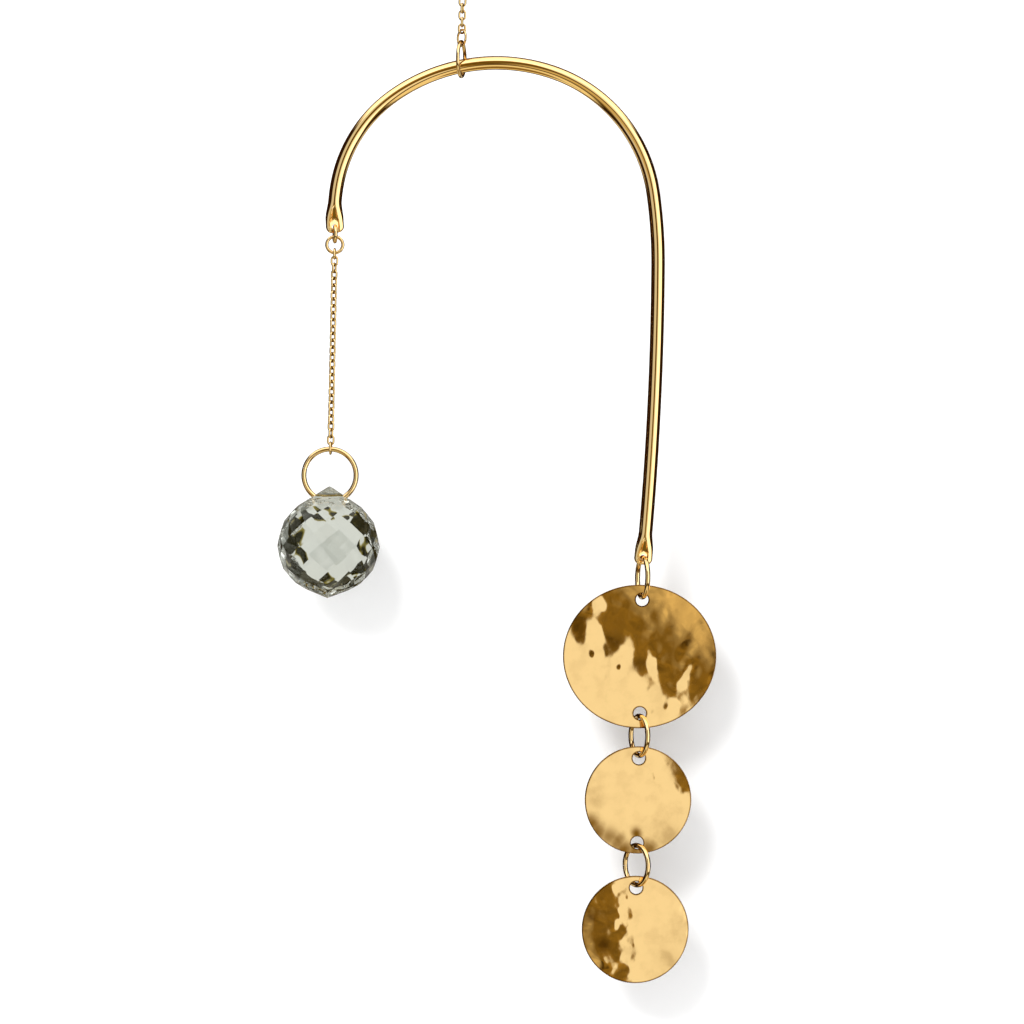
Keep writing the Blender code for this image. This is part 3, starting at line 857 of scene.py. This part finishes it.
def blow_field(x, z, seed, reach, pitch, radius, depth):
    """Overlapping hammer blows on a jittered triangular lattice.

    Each blow lowers the sheet by depth * (1 - (d / radius)^2)^2 inside its radius, where d is the
    distance from its middle, stretched a little along a direction of its own.
    """
    random = np.random.default_rng(seed)
    count = int(2 * reach / pitch) + 2
    height = np.zeros_like(x)
    for i in range(count):
        for j in range(count):
            middle_x = (i - count / 2 + 0.5 * (j % 2) + random.normal(0, BLOW_JITTER)) * pitch
            middle_z = ((j - count / 2) * ROW_PITCH + random.normal(0, BLOW_JITTER)) * pitch
            size = radius * random.uniform(*BLOW_SIZES)
            deep = depth * random.uniform(*BLOW_DEPTHS)
            stretch = random.uniform(*BLOW_STRETCH)
            way = random.uniform(0, np.pi)
            along = ((x - middle_x) * math.cos(way) + (z - middle_z) * math.sin(way)) * stretch
            aside = (-(x - middle_x) * math.sin(way) + (z - middle_z) * math.cos(way)) / stretch
            height -= deep * np.clip(1 - (along ** 2 + aside ** 2) / size ** 2, 0, None) ** 2
    return height


def disc_relief(x, z, half_wide, half_tall, shape):
    """Height of the front over the flat sheet, in metres, at places measured from the disc's middle."""
    bend_x, bend_xz, bend_z = (value * DEGREE / MM for value in shape["bend"])
    height = bend_x * x * x / 2 + bend_xz * x * z + bend_z * z * z / 2
    from_middle = np.sqrt((x / half_wide) ** 2 + (z / half_tall) ** 2)
    height -= RIM_DROP * np.clip(from_middle - RIM_DROP_STARTS, 0, None) ** 2
    for mark_x, mark_z, radius, lift in shape["marks"]:
        apart = (x - mark_x * MM) ** 2 + (z - mark_z * MM) ** 2
        height += lift * MM * np.exp(-apart / (radius * MM) ** 2)
    reach = half_wide + BLOWS_PAST_RIM
    for blows, seed in (("blows", 0), ("small_blows", SMALL_BLOWS_SEED)):
        pitch, radius, depth = (size * MM for size in shape[blows])
        height += blow_field(x, z, shape["seed"] + seed, reach, pitch, radius, depth)
    return height


# %% The three discs
# turn: degrees about the vertical. bend: degrees per mm along x, crosswise, and along z.
# strips: metal left between the rim and the upper and lower hole, in mm.
# blows: pitch, radius and depth in mm. marks: broad crests and hollows as x, z, radius, lift in mm.
# shade_patches: patches of painted shade where the discs show dim reflections, as x, z and radius in
# mm, and strength.
DISCS = {
    "large_disc": {
        "turn": 1.5, "bend": (0.20, 0.23, 0.20), "strips": (2.5, 2.5),
        "seed": 3275, "blows": (4.2, 3.8, 0.035), "small_blows": (1.9, 1.6, 0.0035),
        "marks": (
            (-15.2, 5.4, 3.4, 0.17), (-11.5, 6.0, 3.0, -0.06), (-6.3, 1.0, 3.2, 0.075),
            (-1.5, 0.0, 3.0, -0.05), (1.8, -4.4, 2.8, 0.09), (5.5, -1.5, 2.6, -0.07),
            (10.3, -6.0, 2.8, 0.06), (-12.9, 0.6, 1.3, 0.11), (-5.2, -3.2, 1.1, 0.08),
            (9.0, -14.9, 1.6, 0.11), (13.6, -2.6, 1.8, 0.085), (12.3, -5.4, 1.8, 0.075),
            (10.9, -8.2, 1.8, 0.08), (-14.8, 15.3, 3.3, 0.34)),
        "shade_patches": ((-0.5, 18.5, 2.2, 0.15), (17.0, -3.0, 4.0, 0.08))},
    "middle_disc": {
        "turn": 4.8, "bend": (0.17, 0.10, 0.12), "strips": (1.6, 1.3),
        "seed": 48432, "blows": (3.6, 3.4, 0.02), "small_blows": (1.5, 1.1, 0.002),
        "marks": ((17.2, 6.0, 3.2, 0.22), (14.6, 11.0, 3.0, 0.07)),
        "shade_patches": (
            (-14.0, -7.4, 3.2, 0.46), (-11.6, -9.8, 3.4, 0.46), (-8.4, -10.8, 3.4, 0.42),
            (-6.0, -12.4, 3.2, 0.40), (-3.6, -14.8, 3.4, 0.45), (-0.6, -15.4, 3.4, 0.46),
            (3.2, -14.4, 3.0, 0.46), (-0.2, -9.9, 1.8, 0.50), (-13.5, 0.0, 4.0, 0.12),
            (9.0, -10.0, 6.0, 0.16), (-3.0, 14.5, 3.0, 0.10))},
    "bottom_disc": {
        "turn": 3.5, "bend": (-0.31, -0.06, -0.06), "strips": (1.6, None),
        "seed": 1719, "blows": (3.6, 3.2, 0.035), "small_blows": (1.5, 1.1, 0.003),
        "marks": (
            (-1.9, 9.3, 1.0, 0.03), (-4.3, 4.0, 0.9, 0.02), (0.1, -4.5, 0.8, 0.018),
            (-6.4, 2.0, 1.2, 0.05), (-10.0, -9.0, 2.5, 0.10), (-8.0, -11.5, 1.2, -0.03),
            (-6.2, 0.4, 1.0, 0.03), (-13.8, -4.6, 1.4, -0.05)),
        "shade_patches": ((-9.5, -4.5, 2.2, 0.35), (-13.0, 3.0, 2.0, 0.30), (10.0, -9.0, 6.0, 0.14),
                   (14.5, 0.0, 4.5, 0.12))},
}
print("discs:", list(DISCS))


# %% [markdown]
# A disc is rings of points on its front, a small round at the rim, and the same rings on its back.
# The holes are drilled afterwards, and the painted shade is worked out last, on the points that are
# there by then: along the rim, round the holes, and in patches where the discs show dim reflections.

# %% Sheets of the discs
SHEET = 0.8 * MM
HOLE_D = 3.7 * MM
RIM_EDGE = 0.22 * MM
SHADE_EDGE = 0.45 * MM
RIM_SHADE = 0.5
DISC_RINGS = 105
DISC_SPOKES = 320
EDGE_ROWS = 5
RIM_SHARE = 0.99


def disc_section():
    """Where the rows of one side lie: share of the radius, inset at the rim, drop into the sheet.

    Rows run from the middle out to the rim, closer and closer, as the sine of an even step, and
    then round a quarter circle at its edge. The other side has the same rows.
    """
    share = np.sin(np.linspace(0, np.pi / 2, DISC_RINGS))
    edge = np.linspace(0, np.pi / 2, EDGE_ROWS + 1)[1:]
    inset = np.concatenate([np.full(DISC_RINGS, RIM_EDGE), RIM_EDGE * (1 - np.sin(edge))])
    drop = np.concatenate([np.zeros(DISC_RINGS), RIM_EDGE * (1 - np.cos(edge))])
    return np.concatenate([share, np.ones(len(edge))]), inset, drop


def paint_disc_shade(piece, centre, half_wide, half_tall, shape, hole_x, holes):
    """Painted shade along the rim, round the holes' edges and in a few patches of dim reflection."""
    places = np.empty(len(piece.data.vertices) * 3)
    piece.data.vertices.foreach_get("co", places)
    places = places.reshape(-1, 3) - np.array([centre.x, 0, centre.z])
    flat = turned_about_z(places, -shape["turn"])
    x, z = flat[:, 0], flat[:, 2]
    from_rim = (1 - np.sqrt((x / half_wide) ** 2 + (z / half_tall) ** 2)) * half_wide
    # Painted shade: a line along the rim, a darker one round and inside the holes, and brown patches at
    # listed places.
    painted_shade = RIM_SHADE * (1 - ease((from_rim - RIM_EDGE / 2) / SHADE_EDGE))
    for hole_z in holes:
        from_hole = np.hypot(places[:, 0] - (hole_x - centre.x), z - (hole_z - centre.z)) - HOLE_D / 2
        painted_shade = np.maximum(painted_shade, 1 - ease(from_hole / SHADE_EDGE))
    for patch_x, patch_z, radius, strength in shape["shade_patches"]:
        apart = (x - patch_x * MM) ** 2 + (z - patch_z * MM) ** 2
        painted_shade = np.maximum(painted_shade, strength * np.exp(-apart / (radius * MM) ** 2))
    store_painted_shade(piece, painted_shade)


def make_disc(node, shape):
    """A disc as rings of points on both sides of the sheet, joined round the rim."""
    low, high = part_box(node)
    centre = (low + high) / 2
    half_wide, half_tall = (high.x - low.x) / 2, (high.z - low.z) / 2
    share, inset, drop = disc_section()
    spoke = 2 * np.pi * np.arange(DISC_SPOKES) / DISC_SPOKES
    x = share[:, None] * np.cos(spoke) * (half_wide - inset[:, None])
    z = share[:, None] * np.sin(spoke) * (half_tall - inset[:, None])
    height = disc_relief(x, z, half_wide, half_tall, shape)
    height -= height[share > RIM_SHARE].mean()
    front = np.stack([x, -SHEET / 2 + drop[:, None] - height, z], axis=-1)
    back = np.stack([x, SHEET / 2 - drop[:, None] - height, z], axis=-1)[::-1]
    points = np.concatenate([front[1:], back[:-1]])
    points = turned_about_z(points, shape["turn"]) + np.array(centre) * np.array([1, 0, 1])
    rows = len(points)
    middles = np.concatenate([[front[0, 0]], [back[-1, 0]]])
    middles = turned_about_z(middles, shape["turn"]) + np.array(centre) * np.array([1, 0, 1])
    quads = grid_faces(rows, DISC_SPOKES, False, True)
    count = rows * DISC_SPOKES
    column = np.arange(DISC_SPOKES)
    beside = (column + 1) % DISC_SPOKES
    first = np.stack([beside, column, np.full(DISC_SPOKES, count)], axis=1)
    last_row = count - DISC_SPOKES
    last = np.stack([column + last_row, beside + last_row, np.full(DISC_SPOKES, count + 1)], axis=1)
    everything = np.concatenate([points.reshape(-1, 3), middles])
    piece = add_piece(node + "_sheet", everything, quads, list(first) + list(last), SHARP_ANGLE)
    ring_x = middle_of(node + "_ring").x
    upper, lower = shape["strips"]
    drill(piece, (ring_x, 0, high.z - upper * MM - HOLE_D / 2), HOLE_D)
    holes = [high.z - upper * MM - HOLE_D / 2]
    if lower is not None:
        drill(piece, (ring_x, 0, low.z + lower * MM + HOLE_D / 2), HOLE_D)
        holes.append(low.z + lower * MM + HOLE_D / 2)
    paint_disc_shade(piece, centre, half_wide, half_tall, shape, ring_x, holes)
    print(node, "relief", round(float(height.max() - height.min()) / MM, 2), "mm")
    return finish_piece(piece, HAMMERED_GOLD, node)


for node, shape in DISCS.items():
    make_disc(node, shape)

# %% [markdown]
# ## The crystal
#
# The ball is cut with flat facets, and the frame's own mesh has them all, so it stays and gets only
# a finish. The glass is clear with a light smoke in it: transmission, an index like that of glass,
# no roughness and the tint are plain values on the shader. Its front mirrors less than bare glass
# would, so that the dark facets stay dark. A facet that was polished by hand is never quite flat,
# and a faint wave in its normal bends what shows through it, as in the real one.

# %% Crystal
GLASS_INDEX = 1.52
CRYSTAL_TINT = (0.63, 0.65, 0.58)
CRYSTAL_SHEEN = (0.45, 0.45, 0.38)
POLISH_SCALE = 120.0
POLISH_WAVE = 0.0010


def crystal_glass():
    """Clear smoky glass by plain values, with the faint waves that polishing leaves on its facets."""
    material = bpy.data.materials.new("crystal_glass")
    material.use_nodes = True
    tree = material.node_tree
    shader = tree.nodes["Principled BSDF"]
    shader.inputs["Base Color"].default_value = opaque(CRYSTAL_TINT)
    shader.inputs["Roughness"].default_value = 0.0
    shader.inputs["IOR"].default_value = GLASS_INDEX
    shader.inputs["Transmission Weight"].default_value = 1.0
    shader.inputs["Specular Tint"].default_value = opaque(CRYSTAL_SHEEN)
    bump = tree.nodes.new("ShaderNodeBump")
    bump.inputs["Distance"].default_value = POLISH_WAVE
    tree.links.new(object_noise(tree, POLISH_SCALE, detail=1.0), bump.inputs["Height"])
    tree.links.new(bump.outputs[0], shader.inputs["Normal"])
    return material


# Light is caught and turned many times inside the cut tip, so its path may be longer than usual.
LIGHT_BOUNCES = 32
bpy.context.scene.cycles.max_bounces = LIGHT_BOUNCES
bpy.context.scene.cycles.glossy_bounces = LIGHT_BOUNCES
bpy.context.scene.cycles.transmission_bounces = LIGHT_BOUNCES

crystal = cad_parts["crystal_ball"]
crystal.data.materials.clear()
crystal.data.materials.append(crystal_glass())
print("light bounces:", bpy.context.scene.cycles.max_bounces)

# %% [markdown]
# ## Backdrop and light
#
# The object hangs about two centimetres before a white sweep: a wall that curves into a pale
# floor. One soft lamp, up and to the left, throws the shadows down to the right. Neither is seen by
# mirrored rays or through the glass, which have their cards.

# %% Backdrop and lamp
WALL_BEHIND = 22 * MM
FLOOR_Z = -0.520
COVE = 0.08
SWEEP_WIDE = 6.0
SWEEP_TALL = 2.0
SWEEP_FORWARD = 5.0
COVE_STEPS = 24
WALL_WHITE = 0.90
LAMP_WATTS = 12.0
LAMP_SIZE = 0.42
LAMP_PLACE = (-0.48, -1.08, 0.66)


def sweep_profile():
    """Wall, quarter circle and floor as (y, z), from the wall's top to the floor's front edge."""
    turn = np.linspace(0, np.pi / 2, COVE_STEPS)
    curve_y = WALL_BEHIND - COVE + COVE * np.cos(turn)
    curve_z = FLOOR_Z + COVE - COVE * np.sin(turn)
    y = np.concatenate([[WALL_BEHIND], curve_y, [-SWEEP_FORWARD]])
    z = np.concatenate([[SWEEP_TALL], curve_z, [FLOOR_Z]])
    return y, z


def white_sweep():
    """Matt white from the front, nothing from behind, so that the object shows from all sides."""
    material = bpy.data.materials.new("white_sweep")
    material.use_nodes = True
    tree = material.node_tree
    shader = tree.nodes["Principled BSDF"]
    shader.inputs["Base Color"].default_value = opaque((WALL_WHITE,) * 3)
    shader.inputs["Roughness"].default_value = 1.0
    shader.inputs["Specular IOR Level"].default_value = 0.0
    clear = tree.nodes.new("ShaderNodeBsdfTransparent")
    mix = tree.nodes.new("ShaderNodeMixShader")
    side = tree.nodes.new("ShaderNodeNewGeometry")
    tree.links.new(side.outputs["Backfacing"], mix.inputs[0])
    tree.links.new(shader.outputs[0], mix.inputs[1])
    tree.links.new(clear.outputs[0], mix.inputs[2])
    tree.links.new(mix.outputs[0], tree.nodes["Material Output"].inputs["Surface"])
    return material


def make_sweep():
    """The profile drawn out sideways."""
    y, z = sweep_profile()
    wide = np.array([-SWEEP_WIDE / 2, SWEEP_WIDE / 2])
    points = np.stack([np.broadcast_to(wide, (len(y), 2)), np.broadcast_to(y[:, None], (len(y), 2)),
                       np.broadcast_to(z[:, None], (len(z), 2))], axis=-1)
    mesh = bpy.data.meshes.new("sweep")
    mesh.from_pydata(points.reshape(-1, 3).tolist(), [], grid_faces(len(y), 2, False, False).tolist())
    mesh.shade_smooth()
    mesh.materials.append(white_sweep())
    sweep = bpy.data.objects.new("sweep", mesh)
    bpy.context.scene.collection.objects.link(sweep)
    if mesh.polygons[0].normal.y > 0:
        mesh.flip_normals()
    sweep.visible_glossy = False
    sweep.visible_transmission = False
    return sweep


def make_lamp():
    """A square soft lamp that points at the middle of the object. Mirrors don't see it."""
    data = bpy.data.lights.new("soft_lamp", "AREA")
    data.energy = LAMP_WATTS
    data.size = LAMP_SIZE
    lamp = bpy.data.objects.new("soft_lamp", data)
    bpy.context.scene.collection.objects.link(lamp)
    middle = (CAD_BOX[0] + CAD_BOX[1]) / 2
    lamp.location = middle + Vector(LAMP_PLACE)
    lamp.rotation_euler = (-Vector(LAMP_PLACE)).to_track_quat("-Z", "Y").to_euler()
    lamp.visible_glossy = False
    lamp.visible_transmission = False
    return lamp


make_sweep()
print("lamp at", [round(value, 2) for value in make_lamp().location])
